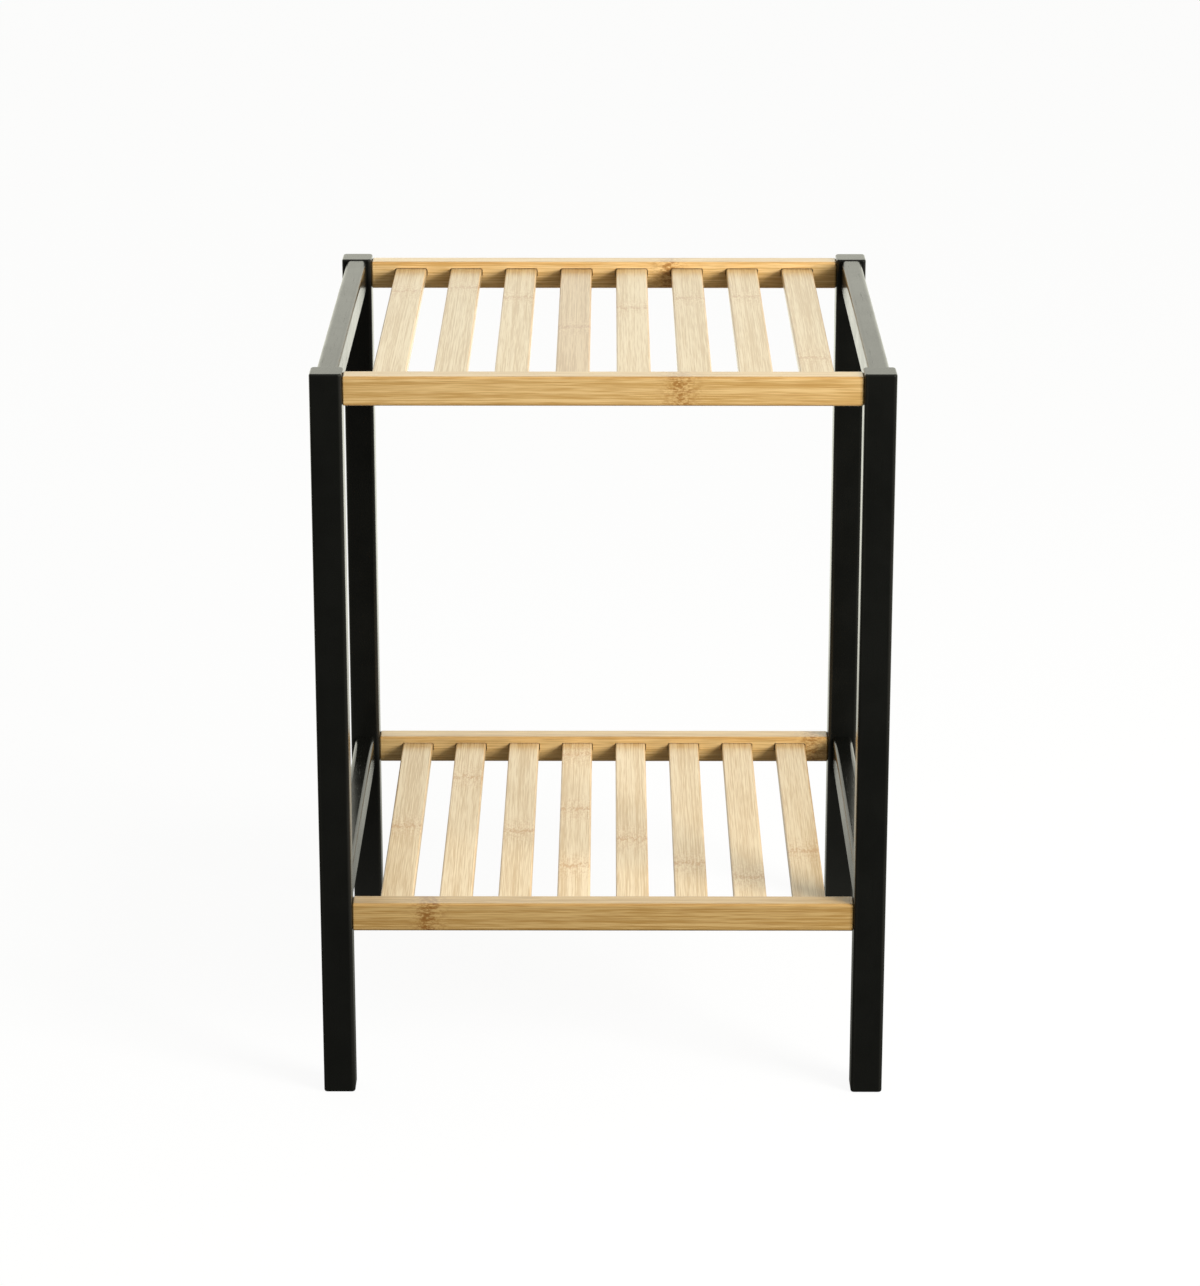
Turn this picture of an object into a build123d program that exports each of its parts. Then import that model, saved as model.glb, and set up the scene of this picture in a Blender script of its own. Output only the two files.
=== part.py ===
from build123d import *
import os

os.makedirs("parts", exist_ok=True)

# A small open bench with two slatted bamboo decks in a black-lacquered wooden frame.
# Millimetres. X runs across the front, Y from front (-) to back (+), Z up.
# The origin is on the floor, under the middle of the bench.

# Whole bench
HEIGHT = 450.0
WIDTH = 340.0
DEPTH = 328.0

# Square posts
POST = 19.0
POST_EDGE_R = 2.2
POST_END_R = 1.2

# Side rails, which join a front post to a back post
SIDE_RAIL_WIDTH = 12.8
SIDE_RAIL_HEIGHT = 20.0
SIDE_RAIL_EDGE_R = 2.8
UPPER_SIDE_RAIL_TOP = 449.4
LOWER_SIDE_RAIL_TOP = 123.2

# Stub tenons on the side rails and their mortises in the posts
TENON_WIDTH = 6.4
TENON_HEIGHT = 13.0
TENON_LENGTH = 5.5
TENON_PLAY = 0.1
MORTISE_SPARE_DEPTH = 0.2

# Bamboo deck rails, which join a left post to a right post
DECK_RAIL_THICKNESS = 14.5
DECK_RAIL_HEIGHT = 17.5
DECK_RAIL_EDGE_R = 1.6
DECK_RAIL_END_R = 1.2
UPPER_DECK_RAIL_TOP = 448.0
LOWER_DECK_RAIL_TOP = 122.0

# Slats, let into slots in the deck rails
SLAT_COUNT = 8
SLAT_WIDTH = 20.0
SLAT_THICKNESS = 5.6
SLAT_EDGE_R = 1.0
SLAT_DROP = 4.5
SLAT_INSET = 7.5
SLOT_DEPTH = 8.0
SLOT_SIDE_PLAY = 0.6
SLOT_TOP_PLAY = 0.4
SLOT_CORNER_R = 1.5

# Hexagon-socket bolts through the posts, and the threaded sleeves they enter
BOLT_R = 2.95
BOLT_LENGTH = 28.0
BOLT_TIP_CHAMFER = 0.6
BOLT_HOLE_R = 3.1
HEAD_R = 5.0
HEAD_HEIGHT = 4.0
HEAD_EDGE_R = 0.6
HEAD_RECESS = 0.4
COUNTERBORE_R = 5.3
SOCKET_ACROSS_FLATS = 4.0
SOCKET_DEPTH = 2.2
SLEEVE_R = 4.5
SLEEVE_BORE_R = 3.0
SLEEVE_LENGTH = 13.0
SLEEVE_HOLE_DEPTH = 14.0

# Derived positions
POST_X = (WIDTH - POST) / 2
POST_Y = (DEPTH - POST) / 2
CLEAR_WIDTH = WIDTH - 2 * POST
CLEAR_DEPTH = DEPTH - 2 * POST
SLAT_SPAN = DEPTH - POST - DECK_RAIL_THICKNESS
SLAT_LENGTH = SLAT_SPAN + 2 * SLAT_INSET
SLAT_GAP = (CLEAR_WIDTH - SLAT_COUNT * SLAT_WIDTH) / (SLAT_COUNT + 1)
SLAT_PITCH = SLAT_WIDTH + SLAT_GAP
SEAT_DEPTH = HEAD_HEIGHT + HEAD_RECESS
BOLT_SEAT_X = WIDTH / 2 - SEAT_DEPTH

SIDES = {"left": -1, "right": 1}
ENDS = {"front": -1, "back": 1}
LEVELS = {
    "upper": (UPPER_SIDE_RAIL_TOP, UPPER_DECK_RAIL_TOP),
    "lower": (LOWER_SIDE_RAIL_TOP, LOWER_DECK_RAIL_TOP),
}


def side_rail_centre_z(level):
    """Height of a side rail's centre line."""
    return LEVELS[level][0] - SIDE_RAIL_HEIGHT / 2


def deck_rail_centre_z(level):
    """Height of a deck rail's centre line, which is also the bolts' height."""
    return LEVELS[level][1] - DECK_RAIL_HEIGHT / 2


def slat_top_z(level):
    """Height of the slats' top faces."""
    return LEVELS[level][1] - SLAT_DROP


def slat_centre_x(index):
    """Slats are numbered from 1 at the left, with equal gaps."""
    return (index - (SLAT_COUNT + 1) / 2) * SLAT_PITCH


def rod_x(radius, x_from, x_to, y, z):
    """A round bar along X."""
    length = abs(x_to - x_from)
    return Pos((x_from + x_to) / 2, y, z) * Rot(0, 90, 0) * Cylinder(radius, length)


def slot_end_bar(width, height, length):
    """An upright bar along Y, with round upper and lower sides, centred on the origin."""
    profile = Plane.XZ * SlotOverall(height, width, rotation=90)
    return extrude(profile, amount=length / 2, both=True)


def rounded_bar(size, long_axis, edge_r, end_r):
    """A bar with rounded long edges and lightly eased ends, centred on the origin."""
    bar = Box(*size)
    bar = fillet(bar.edges().filter_by(long_axis), edge_r)
    end_faces = bar.faces().sort_by(long_axis)
    end_edges = end_faces[0].edges() + end_faces[-1].edges()
    return fillet(end_edges, end_r)


def post(side, end):
    """One square post with two tenon mortises and two counterbored bolt holes."""
    x = side * POST_X
    y = end * POST_Y
    body = Pos(x, y, HEIGHT / 2) * rounded_bar((POST, POST, HEIGHT), Axis.Z, POST_EDGE_R, POST_END_R)
    mortise_depth = TENON_LENGTH + MORTISE_SPARE_DEPTH
    mortise_y = end * (CLEAR_DEPTH / 2 + mortise_depth / 2)
    for level in LEVELS:
        mortise = slot_end_bar(TENON_WIDTH + TENON_PLAY, TENON_HEIGHT + TENON_PLAY, mortise_depth)
        body -= Pos(x, mortise_y, side_rail_centre_z(level)) * mortise
        bolt_z = deck_rail_centre_z(level)
        body -= rod_x(BOLT_HOLE_R, side * CLEAR_WIDTH / 2, side * WIDTH / 2, y, bolt_z)
        body -= rod_x(COUNTERBORE_R, side * BOLT_SEAT_X, side * WIDTH / 2, y, bolt_z)
    return body


def side_rail(side, level):
    """One black rail from front to back, with a stub tenon on each end."""
    rail = Box(SIDE_RAIL_WIDTH, CLEAR_DEPTH, SIDE_RAIL_HEIGHT)
    rail = fillet(rail.edges().filter_by(Axis.Y), SIDE_RAIL_EDGE_R)
    rail += slot_end_bar(TENON_WIDTH, TENON_HEIGHT, CLEAR_DEPTH + 2 * TENON_LENGTH)
    return Pos(side * POST_X, 0, side_rail_centre_z(level)) * rail


def slat_slot(level, index, end):
    """The slot in a deck rail's inner face that takes one slat's end."""
    height = SLAT_THICKNESS + SLOT_TOP_PLAY
    slot = Box(SLAT_WIDTH + 2 * SLOT_SIDE_PLAY, SLOT_DEPTH, height)
    slot = fillet(slot.edges().filter_by(Axis.Y), SLOT_CORNER_R)
    y = end * (SLAT_SPAN / 2 + SLOT_DEPTH / 2)
    z = slat_top_z(level) - SLAT_THICKNESS + height / 2
    return Pos(slat_centre_x(index), y, z) * slot


def deck_rail(end, level):
    """One bamboo rail from left to right, slotted for the slats and bored for the sleeves."""
    y = end * POST_Y
    z = deck_rail_centre_z(level)
    size = (CLEAR_WIDTH, DECK_RAIL_THICKNESS, DECK_RAIL_HEIGHT)
    rail = Pos(0, y, z) * rounded_bar(size, Axis.X, DECK_RAIL_EDGE_R, DECK_RAIL_END_R)
    for index in range(1, SLAT_COUNT + 1):
        rail -= slat_slot(level, index, end)
    for side in SIDES.values():
        rail_end = side * CLEAR_WIDTH / 2
        rail -= rod_x(SLEEVE_R, rail_end - side * SLEEVE_HOLE_DEPTH, rail_end, y, z)
    return rail


def slat(level, index):
    """One bamboo slat with eased long edges, standing on the floors of its slots."""
    bar = Box(SLAT_WIDTH, SLAT_LENGTH, SLAT_THICKNESS)
    bar = fillet(bar.edges().filter_by(Axis.Y), SLAT_EDGE_R)
    return Pos(slat_centre_x(index), 0, slat_top_z(level) - SLAT_THICKNESS / 2) * bar


def bolt():
    """A socket-head bolt along Z: the head's seat is at the origin and the shank points down."""
    head = Pos(0, 0, HEAD_HEIGHT / 2) * Cylinder(HEAD_R, HEAD_HEIGHT)
    head = fillet(head.edges().sort_by(Axis.Z)[-1], HEAD_EDGE_R)
    socket = extrude(RegularPolygon(SOCKET_ACROSS_FLATS / 2, 6, major_radius=False), SOCKET_DEPTH)
    head -= Pos(0, 0, HEAD_HEIGHT - SOCKET_DEPTH) * socket
    shank = Pos(0, 0, -BOLT_LENGTH / 2) * Cylinder(BOLT_R, BOLT_LENGTH)
    shank = chamfer(shank.edges().sort_by(Axis.Z)[0], BOLT_TIP_CHAMFER)
    return head + shank


def sleeve():
    """A threaded sleeve along Z, with its mouth at the origin and its body below."""
    body = Cylinder(SLEEVE_R, SLEEVE_LENGTH) - Cylinder(SLEEVE_BORE_R, SLEEVE_LENGTH)
    return Pos(0, 0, -SLEEVE_LENGTH / 2) * body


def at_every_joint(piece, x_from_centre):
    """Copies of a fastener, one at each meeting of post and deck rail, pointing inwards."""
    copies = []
    for level in LEVELS:
        for end in ENDS.values():
            for side in SIDES.values():
                place = Pos(side * x_from_centre, end * POST_Y, deck_rail_centre_z(level))
                copies.append(place * Rot(0, side * 90, 0) * piece)
    return Compound(children=copies)


def build_nodes():
    """Every separate piece by its node name."""
    nodes = {}
    for end_name, end in ENDS.items():
        for side_name, side in SIDES.items():
            nodes[f"post_{end_name}_{side_name}"] = post(side, end)
    for level in LEVELS:
        for side_name, side in SIDES.items():
            nodes[f"side_rail_{level}_{side_name}"] = side_rail(side, level)
        for end_name, end in ENDS.items():
            nodes[f"deck_rail_{level}_{end_name}"] = deck_rail(end, level)
        for index in range(1, SLAT_COUNT + 1):
            nodes[f"slat_{level}_{index}"] = slat(level, index)
    nodes["deck_bolts"] = at_every_joint(bolt(), BOLT_SEAT_X)
    nodes["threaded_sleeves"] = at_every_joint(sleeve(), CLEAR_WIDTH / 2)
    return nodes


for name, shape in build_nodes().items():
    export_step(shape, f"parts/{name}.step")
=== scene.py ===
"""Looks of a small bench: two slatted bamboo decks in a black-lacquered wooden frame."""

import math
from collections import namedtuple

import bpy
from mathutils import Euler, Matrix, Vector


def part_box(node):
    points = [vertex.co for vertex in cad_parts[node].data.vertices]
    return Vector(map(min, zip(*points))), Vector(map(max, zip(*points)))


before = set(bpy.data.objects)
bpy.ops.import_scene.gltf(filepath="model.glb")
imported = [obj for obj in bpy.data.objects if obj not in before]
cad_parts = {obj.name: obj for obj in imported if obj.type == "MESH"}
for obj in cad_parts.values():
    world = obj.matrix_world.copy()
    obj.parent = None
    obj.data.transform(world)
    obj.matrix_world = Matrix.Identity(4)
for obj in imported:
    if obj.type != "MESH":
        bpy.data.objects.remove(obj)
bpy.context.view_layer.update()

LEVELS = ("upper", "lower")
ENDS = ("front", "back")
SIDES = ("left", "right")
SLAT_COUNT = 8


# ---------------------------------------------------------------- materials in general

# A noise texture: cells per metre, levels of detail, roughness, and stretch, which is how far it is
# drawn out along a bar (1 is not at all, and the smaller it is, the longer the marks are).
Grain = namedtuple("Grain", "scale detail roughness stretch", defaults=(1.0,))

# Most of a noise's values lie in this span.
NOISE_SPAN = (0.3, 0.7)

# The Mix node names its sockets alike for every kind of value. These are the colours' places.
MIX_FIRST = 6
MIX_SECOND = 7
MIX_RESULT = 2


def new_material(name):
    material = bpy.data.materials.new(name)
    material.use_nodes = True
    material.node_tree.nodes.clear()
    return material


class Tree:
    """Short calls for building the nodes of a material or world."""

    def __init__(self, owner):
        self.tree = owner.node_tree

    def node(self, kind, **settings):
        made = self.tree.nodes.new(kind)
        for key, value in settings.items():
            setattr(made, key, value)
        return made

    def feed(self, socket, value):
        if isinstance(value, bpy.types.NodeSocket):
            self.tree.links.new(value, socket)
        else:
            socket.default_value = value

    def position(self):
        """The place in metres, in the frame that all pieces share."""
        return self.node("ShaderNodeTexCoord").outputs["Object"]

    def math(self, operation, *values):
        made = self.node("ShaderNodeMath", operation=operation)
        for socket, value in zip(made.inputs, values):
            self.feed(socket, value)
        return made.outputs[0]

    def centred(self, value, factor):
        """A noise value, moved to be around 0 and scaled."""
        return self.math("MULTIPLY", self.math("SUBTRACT", value, 0.5), factor)

    def ramp(self, value, low, high, to_low=0.0, to_high=1.0):
        """A smooth step from to_low to to_high, while the value goes from low to high."""
        made = self.node("ShaderNodeMapRange", interpolation_type="SMOOTHSTEP")
        for socket, entry in zip(made.inputs, (value, low, high, to_low, to_high)):
            self.feed(socket, entry)
        return made.outputs[0]

    def mix(self, factor, first, second, blend="MIX"):
        made = self.node("ShaderNodeMix", data_type="RGBA", blend_type=blend)
        self.feed(made.inputs["Factor"], factor)
        self.feed(made.inputs[MIX_FIRST], first)
        self.feed(made.inputs[MIX_SECOND], second)
        return made.outputs[MIX_RESULT]

    def noise(self, place, grain):
        made = self.node("ShaderNodeTexNoise")
        self.feed(made.inputs["Vector"], place)
        self.feed(made.inputs["Scale"], grain.scale)
        self.feed(made.inputs["Detail"], grain.detail)
        self.feed(made.inputs["Roughness"], grain.roughness)
        return made.outputs[0]

    def bar_noise(self, place, grain, shift=0.0):
        """Noise drawn out along a bar. place is along the bar and across it, twice."""
        along, across, up = place
        drawn_out = self.math("ADD", self.math("MULTIPLY", along, grain.stretch), shift)
        return self.noise(self.combine(drawn_out, across, up), grain)

    def separate(self, vector):
        made = self.node("ShaderNodeSeparateXYZ")
        self.feed(made.inputs[0], vector)
        return made.outputs

    def combine(self, x, y, z):
        made = self.node("ShaderNodeCombineXYZ")
        for socket, value in zip(made.inputs, (x, y, z)):
            self.feed(socket, value)
        return made.outputs[0]

    def bump(self, height, strength, distance, normal=None):
        made = self.node("ShaderNodeBump")
        self.feed(made.inputs["Height"], height)
        self.feed(made.inputs["Strength"], strength)
        self.feed(made.inputs["Distance"], distance)
        if normal is not None:
            self.feed(made.inputs["Normal"], normal)
        return made.outputs[0]

    def shader(self, colour, roughness, normal, **constants):
        made = self.node("ShaderNodeBsdfPrincipled")
        self.feed(made.inputs["Base Color"], colour)
        self.feed(made.inputs["Roughness"], roughness)
        self.feed(made.inputs["Normal"], normal)
        for key, value in constants.items():
            made.inputs[key.replace("_", " ")].default_value = value
        self.finish("ShaderNodeOutputMaterial", made.outputs[0])

    def glow(self, kind, colour, strength):
        """An emission or a background of one colour."""
        made = self.node(kind)
        made.inputs["Color"].default_value = colour
        self.feed(made.inputs["Strength"], strength)
        return made.outputs[0]

    def choose(self, factor, first, second):
        """The first shader where the factor is 0, and the second where it is 1."""
        made = self.node("ShaderNodeMixShader")
        for socket, value in zip(made.inputs, (factor, first, second)):
            self.tree.links.new(value, socket)
        return made.outputs[0]

    def finish(self, kind, surface):
        out = self.node(kind)
        self.tree.links.new(surface, out.inputs["Surface"])


def section(node, first, second):
    """The middle and the half size of a node's cross-section, along two axes."""
    low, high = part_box(node)
    middle = [(low[i] + high[i]) / 2 for i in (first, second)]
    half = [(high[i] - low[i]) / 2 for i in (first, second)]
    return middle, half


def long_edges(t, first, second, half, full, reach):
    """1 within full of a bar's long edges, 0 beyond reach. first and second are measured from its middle."""
    from_first = t.math("SUBTRACT", half[0], t.math("ABSOLUTE", first))
    from_second = t.math("SUBTRACT", half[1], t.math("ABSOLUTE", second))
    return t.ramp(t.math("MAXIMUM", from_first, from_second), full, reach, 1.0, 0.0)


def repaint(node, material):
    for material_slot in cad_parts[node].material_slots:
        material_slot.material = material


# ---------------------------------------------------------------- bamboo

# Places of the growth rings, in metres from the middle of each piece.
SLAT_RING_PLACES = {
    "upper": ((0.082,), (0.093,), (0.064,), (-0.016,), (0.036,), (0.062,), (0.067,), (-0.095,)),
    "lower": (
        (-0.013,), (0.079,), (-0.022,), (0.125, 0.018, -0.084), (-0.036,), (-0.080,), (-0.104,), (-0.058,),
    ),
}
RAIL_RING_PLACES = {
    ("upper", "front"): (0.045,),
    ("lower", "front"): (-0.105,),
    ("upper", "back"): (0.042,),
    ("lower", "back"): (0.140,),
}

# Dark, light and ring colours, and how each piece differs from them. The slat factors are partly the slats'
# own tone and partly painted light: the lower slats are lightened, most in the middle, against the shade
# under the upper deck. The rail factors are painted light: the lower front rail is darkened as painted shade
# for the weaker light low down, and the upper back rail is lightened as painted light.
SLAT_TONE = ((0.550, 0.352, 0.142), (0.755, 0.580, 0.350), (0.480, 0.220, 0.036))
RAIL_TONE = ((0.515, 0.305, 0.098), (0.745, 0.512, 0.234), (0.320, 0.138, 0.028))
SLAT_TONE_AND_LIGHT = {
    "upper": (0.97, 0.92, 0.95, 0.79, 0.97, 0.92, 0.94, 0.93),
    "lower": (0.99, 1.08, 1.08, 1.15, 1.12, 1.04, 1.02, 0.91),
}
SLAT_WARMTH = {("upper", 4): 0.18}
RAIL_PAINTED_LIGHT = {
    ("upper", "front"): 0.96,
    ("lower", "front"): 0.74,
    ("upper", "back"): 1.18,
    ("lower", "back"): 0.90,
}
RAIL_RING_STRENGTHS = {
    ("upper", "front"): 0.60,
    ("lower", "front"): 0.92,
    ("upper", "back"): 0.80,
    ("lower", "back"): 0.70,
}
SHADE_POWERS = (0.9, 1.0, 1.35)

# The strengths of a piece's marks. Those named reach or wander, and the width of the painted shade on the
# long edges, are sizes in metres.
BambooLook = namedtuple("BambooLook", "ring ring_reach wander halo halo_reach flecks veins dashes edge")
SLAT_LOOK = BambooLook(
    ring=0.80, ring_reach=0.0050, wander=0.017, halo=0.45, halo_reach=0.036,
    flecks=0.16, veins=0.10, dashes=0.60, edge=0.0012,
)
RAIL_LOOK = BambooLook(
    ring=0.92, ring_reach=0.0068, wander=0.015, halo=0.55, halo_reach=0.018,
    flecks=0.18, veins=0.20, dashes=0.60, edge=0.0021,
)

# Grains, from broad to fine
DRIFT = Grain(22.0, 2.0, 0.5, 0.5)
STRIPS = Grain(230.0, 1.0, 0.5, 0.012)
STIR = Grain(300.0, 1.0, 0.5, 0.35)
RING_WAVER = Grain(330.0, 2.0, 0.7, 0.0)
VEINS = Grain(520.0, 2.0, 0.6, 0.010)
SPECKS = Grain(900.0, 2.0, 0.7, 0.40)
FIBRES = Grain(1350.0, 2.0, 0.7, 0.006)
FLECKS = Grain(1900.0, 1.0, 0.5, 0.03)
DASHES = Grain(2600.0, 1.0, 0.5, 0.018)

# How much each grain counts in the body colour
STRIP_SHARE = 0.32
FIBRE_SHARE = 0.68
DRIFT_SHARE = 0.22

# Spans of noise values over which a mark grows from nothing to full, or fades between two strengths
BODY_SPAN = (0.38, 0.62)
FLECK_SPAN = (0.58, 0.70)
BROWN_SPAN = (0.46, 0.62)
PALE_SPAN = (0.34, 0.48)
VEIN_HALF_WIDTH = 0.045
VEIN_FADE = (0.35, 0.65, 0.35, 1.0)
BAND_FADE = (0.40, 0.58, 0.15, 1.0)
# Strengths of the painted shade on the long edges, where the drift is low and high.
EDGE_SHADE_STRENGTHS = (0.40, 0.75)

STIR_SIZE = 0.0016
HALO_FULL = 0.002
RING_FULL_PART = 0.3
# The part of the edge width where the painted edge shade is full, and the warm tint that it multiplies into
# the colour.
EDGE_SHADE_FULL_PART = 1 / 3
EDGE_SHADE_TINT = (0.90, 0.76, 0.58, 1)
RING_HOLLOW = -0.3
BAMBOO_ROUGHNESS = (0.36, 0.28)
BAMBOO_BUMP = (0.10, 0.0002)
BAMBOO_FINISH = {"IOR": 1.5, "Coat_Weight": 0.6, "Coat_Roughness": 0.28}
BAMBOO_SEED_STEP = 0.731


def shaded(tone, shade, warmth=0.0):
    """The same tone, lighter or darker. A darker piece is a little more orange, and warmth adds to that."""
    tints = (1.0, 1.0 - warmth / 2, 1.0 - warmth)
    colours = []
    for colour in tone:
        channels = [c * shade**power * tint for c, power, tint in zip(colour, SHADE_POWERS, tints)]
        colours.append((*channels, 1.0))
    return colours


def near_rings(t, along, places, full, reach):
    """1 within full of a growth ring and 0 beyond reach."""
    result = None
    for place in places:
        distance = t.math("ABSOLUTE", t.math("SUBTRACT", along, place))
        band = t.ramp(distance, full, reach, 1.0, 0.0)
        result = band if result is None else t.math("MAXIMUM", result, band)
    return result


def bamboo_body(t, place, shift, halo, tone, look):
    """The colour between the growth rings, with the fibres and the drift that other parts use."""
    along, across, up = place
    dark, light, ring = tone

    # Long fibres in broader strips of tone. They lose their straightness beside a ring.
    stir = t.math("MULTIPLY", t.centred(t.bar_noise(place, STIR, shift), STIR_SIZE), halo)
    stirred = (along, t.math("ADD", across, stir), t.math("ADD", up, stir))
    fibres = t.bar_noise(stirred, FIBRES, shift)
    strips = t.bar_noise(place, STRIPS, shift)
    dashes = t.bar_noise(place, DASHES, shift)
    drift = t.bar_noise(place, DRIFT, shift)
    body = t.math("ADD", t.math("MULTIPLY", strips, STRIP_SHARE), t.math("MULTIPLY", fibres, FIBRE_SHARE))
    body = t.math("ADD", body, t.centred(dashes, look.dashes))
    body = t.math("ADD", body, t.centred(drift, DRIFT_SHARE))
    colour = t.mix(t.ramp(body, *BODY_SPAN), dark, light)

    # Short brown flecks, and thin brown veins along the level lines of a noise.
    flecks = t.ramp(t.bar_noise(place, FLECKS, shift), *FLECK_SPAN)
    from_line = t.math("ABSOLUTE", t.math("SUBTRACT", t.bar_noise(place, VEINS, shift), 0.5))
    veins = t.ramp(from_line, 0.0, VEIN_HALF_WIDTH, 1.0, 0.0)
    veins = t.math("MULTIPLY", veins, t.ramp(drift, *VEIN_FADE))
    colour = t.mix(t.math("MULTIPLY", flecks, look.flecks), colour, ring)
    colour = t.mix(t.math("MULTIPLY", veins, look.veins), colour, ring)
    return colour, fibres, drift


def growth_rings(t, place, shift, halo, ring_places, look):
    """The marks of the rings: an uneven thin band, and brown and pale specks on both sides of it."""
    waver = t.centred(t.bar_noise(place, RING_WAVER, shift), look.wander)
    wavy = t.math("ADD", place[0], waver)
    band = near_rings(t, wavy, ring_places, look.ring_reach * RING_FULL_PART, look.ring_reach)
    specks = t.bar_noise(place, SPECKS, shift)
    band = t.math("MULTIPLY", band, t.ramp(specks, *BAND_FADE))
    band = t.math("MULTIPLY", band, look.ring)
    brown = t.math("MULTIPLY", halo, t.ramp(specks, *BROWN_SPAN, 0.0, look.halo))
    pale = t.math("MULTIPLY", halo, t.ramp(specks, *PALE_SPAN, look.halo, 0.0))
    return band, brown, pale


def bamboo(name, axis, seed, ring_places, tone, look, cut):
    """Bamboo whose fibres run along one axis. cut is the middle and half size of its cross-section."""
    material = new_material(name)
    t = Tree(material)
    x, y, z = t.separate(t.position())
    along, across = (x, y) if axis == "X" else (y, x)
    middle, half = cut
    across = t.math("SUBTRACT", across, middle[0])
    up = t.math("SUBTRACT", z, middle[1])
    place = (along, across, up)
    shift = seed * BAMBOO_SEED_STEP
    light, ring = tone[1:]

    halo = near_rings(t, along, ring_places, HALO_FULL, look.halo_reach)
    colour, fibres, drift = bamboo_body(t, place, shift, halo, tone, look)
    band, brown, pale = growth_rings(t, place, shift, halo, ring_places, look)
    colour = t.mix(pale, colour, light)
    colour = t.mix(brown, colour, ring)
    colour = t.mix(band, colour, ring)

    # Painted shade: the eased long edges are darkened and made warmer, more in some stretches than in others.
    edge = long_edges(t, across, up, half, look.edge * EDGE_SHADE_FULL_PART, look.edge)
    edge = t.math("MULTIPLY", edge, t.ramp(drift, *NOISE_SPAN, *EDGE_SHADE_STRENGTHS))
    colour = t.mix(edge, colour, EDGE_SHADE_TINT, "MULTIPLY")

    roughness = t.ramp(fibres, *NOISE_SPAN, *BAMBOO_ROUGHNESS)
    height = t.math("ADD", fibres, t.math("MULTIPLY", band, RING_HOLLOW))
    t.shader(colour, roughness, t.bump(height, *BAMBOO_BUMP), **BAMBOO_FINISH)
    return material


def paint_bamboo():
    seed = 1
    for level in LEVELS:
        for end in ENDS:
            node = f"deck_rail_{level}_{end}"
            places = RAIL_RING_PLACES[level, end]
            # The rail's factor darkens or lightens its tone as painted light and shade.
            tone = shaded(RAIL_TONE, RAIL_PAINTED_LIGHT[level, end])
            look = RAIL_LOOK._replace(ring=RAIL_RING_STRENGTHS[level, end])
            repaint(node, bamboo(f"bamboo_{node}", "X", seed, places, tone, look, section(node, 1, 2)))
            seed += 1
        for index in range(1, SLAT_COUNT + 1):
            node = f"slat_{level}_{index}"
            places = SLAT_RING_PLACES[level][index - 1]
            # The slat's factor is partly its own tone and partly painted light.
            warmth = SLAT_WARMTH.get((level, index), 0.0)
            tone = shaded(SLAT_TONE, SLAT_TONE_AND_LIGHT[level][index - 1], warmth)
            repaint(node, bamboo(f"bamboo_{node}", "Y", seed, places, tone, SLAT_LOOK, section(node, 0, 2)))
            seed += 1


# ---------------------------------------------------------------- black lacquer

PORES = Grain(1300.0, 2.0, 0.6, 0.03)
SWELL = Grain(70.0, 2.0, 0.5, 0.15)
PEEL = Grain(260.0, 1.0, 0.5)
BLOTCHES = Grain(35.0, 3.0, 0.6)

BLACK_LOW = (0.0040, 0.0042, 0.0036, 1)
BLACK_HIGH = (0.0056, 0.0058, 0.0050, 1)
BLACK_PORE = (0.0025, 0.0025, 0.0022, 1)
BLACK_RUBBED = (0.0150, 0.0145, 0.0125, 1)
PORE_SPAN = (0.60, 0.72)
PORE_STRENGTH = 0.5
PORE_ROUGHNESS = 0.10
PORE_HOLLOW = -0.6
PEEL_HEIGHT = 0.5
LACQUER_FINE_BUMP = (0.075, 0.0001)
LACQUER_SWELL_BUMP = (0.12, 0.0006)
RUBBED_FULL = 0.0009
RUBBED_REACH = 0.0026
RUBBED_FADE = (0.35, 0.65, 0.35, 1.0)
LACQUER_ROUGHNESS = (0.17, 0.22)
LACQUER_IOR = 1.40
LACQUER_SEED_STEP = 0.417


def black_lacquer(name, axis, seed, cut):
    """Black lacquer over wood: faint pores along the grain, slightly rubbed on the rounded edges."""
    material = new_material(name)
    t = Tree(material)
    position = t.position()
    x, y, z = t.separate(position)
    place = (z, x, y) if axis == "Z" else (y, x, z)
    pores = t.ramp(t.bar_noise(place, PORES, seed * LACQUER_SEED_STEP), *PORE_SPAN)
    swell = t.bar_noise(place, SWELL)
    peel = t.noise(position, PEEL)
    blotches = t.noise(position, BLOTCHES)

    middle, half = cut
    from_middle = [t.math("SUBTRACT", value, centre) for value, centre in zip(place[1:], middle)]
    rubbed = long_edges(t, *from_middle, half, RUBBED_FULL, RUBBED_REACH)
    rubbed = t.math("MULTIPLY", rubbed, t.ramp(swell, *RUBBED_FADE))
    colour = t.mix(t.ramp(blotches, *NOISE_SPAN), BLACK_LOW, BLACK_HIGH)
    colour = t.mix(t.math("MULTIPLY", pores, PORE_STRENGTH), colour, BLACK_PORE)
    colour = t.mix(rubbed, colour, BLACK_RUBBED)

    roughness = t.ramp(blotches, *NOISE_SPAN, *LACQUER_ROUGHNESS)
    roughness = t.math("ADD", roughness, t.math("MULTIPLY", pores, PORE_ROUGHNESS))
    fine = t.math("ADD", t.math("MULTIPLY", pores, PORE_HOLLOW), t.math("MULTIPLY", peel, PEEL_HEIGHT))
    normal = t.bump(fine, *LACQUER_FINE_BUMP)
    normal = t.bump(swell, *LACQUER_SWELL_BUMP, normal)
    t.shader(colour, roughness, normal, IOR=LACQUER_IOR)
    return material


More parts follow.
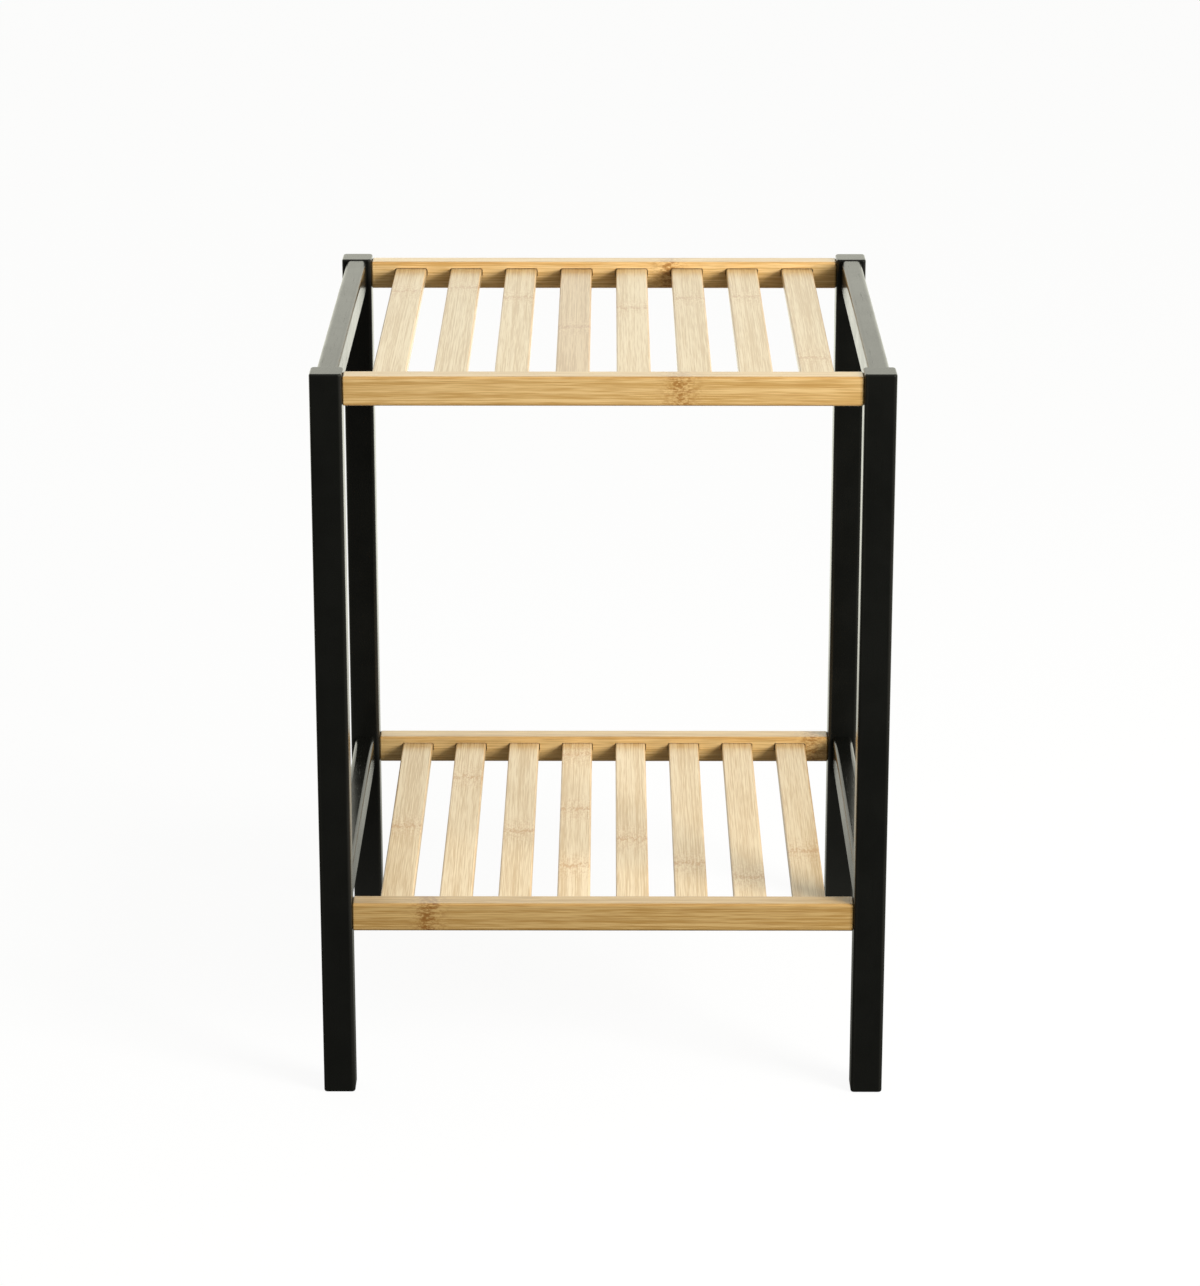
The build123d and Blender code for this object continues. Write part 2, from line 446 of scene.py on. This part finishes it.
def paint_frame():
    seed = 1
    for end in ENDS:
        for side in SIDES:
            node = f"post_{end}_{side}"
            repaint(node, black_lacquer(f"lacquer_{node}", "Z", seed, section(node, 0, 1)))
            seed += 1
    for level in LEVELS:
        for side in SIDES:
            node = f"side_rail_{level}_{side}"
            repaint(node, black_lacquer(f"lacquer_{node}", "Y", seed, section(node, 0, 2)))
            seed += 1


# ---------------------------------------------------------------- steel

PATCHES = Grain(240.0, 3.0, 0.6)
TURNING_MARKS = Grain(2600.0, 2.0, 0.6)
STEEL_BUMP = (0.08, 0.0001)

Steel = namedtuple("Steel", "dark light metallic roughness")
BLACK_STEEL = Steel(
    dark=(0.012, 0.012, 0.013, 1), light=(0.028, 0.028, 0.030, 1), metallic=0.85, roughness=(0.32, 0.46),
)
ZINC_STEEL = Steel(
    dark=(0.50, 0.50, 0.48, 1), light=(0.66, 0.66, 0.63, 1), metallic=1.0, roughness=(0.24, 0.40),
)


def steel(name, look):
    """Turned steel with fine marks and small patches of tone."""
    material = new_material(name)
    t = Tree(material)
    position = t.position()
    patches = t.noise(position, PATCHES)
    marks = t.noise(position, TURNING_MARKS)
    colour = t.mix(t.ramp(patches, *NOISE_SPAN), look.dark, look.light)
    roughness = t.ramp(marks, *NOISE_SPAN, *look.roughness)
    t.shader(colour, roughness, t.bump(marks, *STEEL_BUMP), Metallic=look.metallic)
    return material


def paint_fasteners():
    repaint("deck_bolts", steel("black_steel", BLACK_STEEL))
    repaint("threaded_sleeves", steel("zinc_steel", ZINC_STEEL))


# ---------------------------------------------------------------- studio

WHITE = (1, 1, 1, 1)
LIGHT_COLOUR = (1.0, 0.997, 0.865, 1)

FLOOR_RADIUS = 12.0
FLOOR_CORNERS = 96
FLOOR_Z = -0.0002
FLOOR_GLOW = 0.925
FLOOR_GREY = (0.07, 0.07, 0.07, 1)
FRONT_FLOOR = 0.10
BACK_FLOOR = 1.35
FLOOR_FRONT_Y = -0.2
FLOOR_BACK_Y = 1.1

# The surrounding light by direction: where each part of it starts and ends, and its level there
BACKDROP_START_END = (-0.15, 0.80)
BACKDROP_TOP = (0.36, 0.80, 1.0, 0.25)
BACKDROP_LEVEL = 1.15
ROOM_LEVEL = 0.18
OVERHEAD = (0.45, 0.95, 0.0, 0.30)
KEY_GLOW = (0.78, 0.97, 0.0, 1.1)
SEEN_BACKDROP = 0.992

KEY_PLACE = (1.51, -1.26, 0.96)
KEY_AIM = (0.0, 0.0, 0.25)
KEY_SIZE = 0.8
KEY_POWER = 60.0
KEY_COLOUR = (1.0, 0.99, 0.965)


def floor_material():
    """Even white to the camera, with a faint contact shadow, and clear from below.

    For light and reflections it is dim in front and bright behind, as black card and a lit sweep would be.
    """
    material = new_material("studio_floor")
    t = Tree(material)
    diffuse = t.node("ShaderNodeBsdfDiffuse")
    diffuse.inputs["Color"].default_value = FLOOR_GREY
    seen = t.node("ShaderNodeAddShader")
    t.tree.links.new(diffuse.outputs[0], seen.inputs[0])
    t.tree.links.new(t.glow("ShaderNodeEmission", WHITE, FLOOR_GLOW), seen.inputs[1])
    y = t.separate(t.position())[1]
    level = t.ramp(y, FLOOR_FRONT_Y, FLOOR_BACK_Y, FRONT_FLOOR, BACK_FLOOR)
    lit = t.glow("ShaderNodeEmission", LIGHT_COLOUR, level)
    is_camera = t.node("ShaderNodeLightPath").outputs["Is Camera Ray"]
    is_below = t.node("ShaderNodeNewGeometry").outputs["Backfacing"]
    from_above = t.choose(is_camera, lit, seen.outputs[0])
    clear = t.node("ShaderNodeBsdfTransparent").outputs[0]
    t.finish("ShaderNodeOutputMaterial", t.choose(is_below, from_above, clear))
    return material


def stage_floor():
    rim = []
    for index in range(FLOOR_CORNERS):
        angle = 2 * math.pi * index / FLOOR_CORNERS
        rim.append((FLOOR_RADIUS * math.cos(angle), FLOOR_RADIUS * math.sin(angle), 0.0))
    mesh = bpy.data.meshes.new("studio_floor")
    mesh.from_pydata(rim, [], [tuple(range(FLOOR_CORNERS))])
    mesh.materials.append(floor_material())
    floor = bpy.data.objects.new("studio_floor", mesh)
    floor.location.z = FLOOR_Z
    bpy.context.scene.collection.objects.link(floor)


def backdrop_light():
    """Soft light: bright behind the bench and above it, dim in front, with a glow where the key light is."""
    world = bpy.data.worlds.new("studio")
    bpy.context.scene.world = world
    world.use_nodes = True
    world.node_tree.nodes.clear()
    t = Tree(world)
    direction = t.node("ShaderNodeTexCoord").outputs["Generated"]
    _, y, z = t.separate(direction)
    behind = t.math("MULTIPLY", t.ramp(y, *BACKDROP_START_END), t.ramp(z, *BACKDROP_TOP))
    level = t.math("ADD", t.math("MULTIPLY", behind, BACKDROP_LEVEL), ROOM_LEVEL)
    level = t.math("ADD", level, t.ramp(z, *OVERHEAD))
    towards_key = t.node("ShaderNodeVectorMath", operation="DOT_PRODUCT")
    t.feed(towards_key.inputs[0], direction)
    t.feed(towards_key.inputs[1], Vector(KEY_PLACE).normalized())
    level = t.math("ADD", level, t.ramp(towards_key.outputs["Value"], *KEY_GLOW))
    lit = t.glow("ShaderNodeBackground", LIGHT_COLOUR, level)
    seen = t.glow("ShaderNodeBackground", WHITE, SEEN_BACKDROP)
    is_camera = t.node("ShaderNodeLightPath").outputs["Is Camera Ray"]
    t.finish("ShaderNodeOutputWorld", t.choose(is_camera, lit, seen))


def key_light():
    """A square soft light from the front right. It stays out of reflections, where the glow stands for it."""
    data = bpy.data.lights.new("key_light", "AREA")
    data.shape = "SQUARE"
    data.size = KEY_SIZE
    data.energy = KEY_POWER
    data.color = KEY_COLOUR
    light = bpy.data.objects.new("key_light", data)
    bpy.context.scene.collection.objects.link(light)
    light.location = KEY_PLACE
    light.rotation_mode = "QUATERNION"
    light.rotation_quaternion = (Vector(KEY_AIM) - Vector(KEY_PLACE)).to_track_quat("-Z", "Y")
    light.visible_glossy = False


# ---------------------------------------------------------------- camera

CAMERA_PLACE = (0.0040, -2.4592, 1.0181)
CAMERA_PITCH_DOWN = 17.655
CAMERA_YAW = 0.144
CAMERA_LENS = 114.56
CAMERA_SENSOR = 36.0
CAMERA_NEAR = 0.05
CAMERA_FAR = 60.0


def make_camera():
    data = bpy.data.cameras.new("camera")
    data.sensor_width = CAMERA_SENSOR
    data.sensor_fit = "AUTO"
    data.lens = CAMERA_LENS
    data.dof.use_dof = False
    data.clip_start = CAMERA_NEAR
    data.clip_end = CAMERA_FAR
    camera = bpy.data.objects.new("camera", data)
    bpy.context.scene.collection.objects.link(camera)
    camera.location = CAMERA_PLACE
    camera.rotation_euler = Euler((math.radians(90 - CAMERA_PITCH_DOWN), 0, math.radians(CAMERA_YAW)), "XYZ")
    bpy.context.scene.camera = camera


bpy.context.scene.view_settings.view_transform = "Standard"
make_camera()
stage_floor()
backdrop_light()
key_light()
paint_bamboo()
paint_frame()
paint_fasteners()
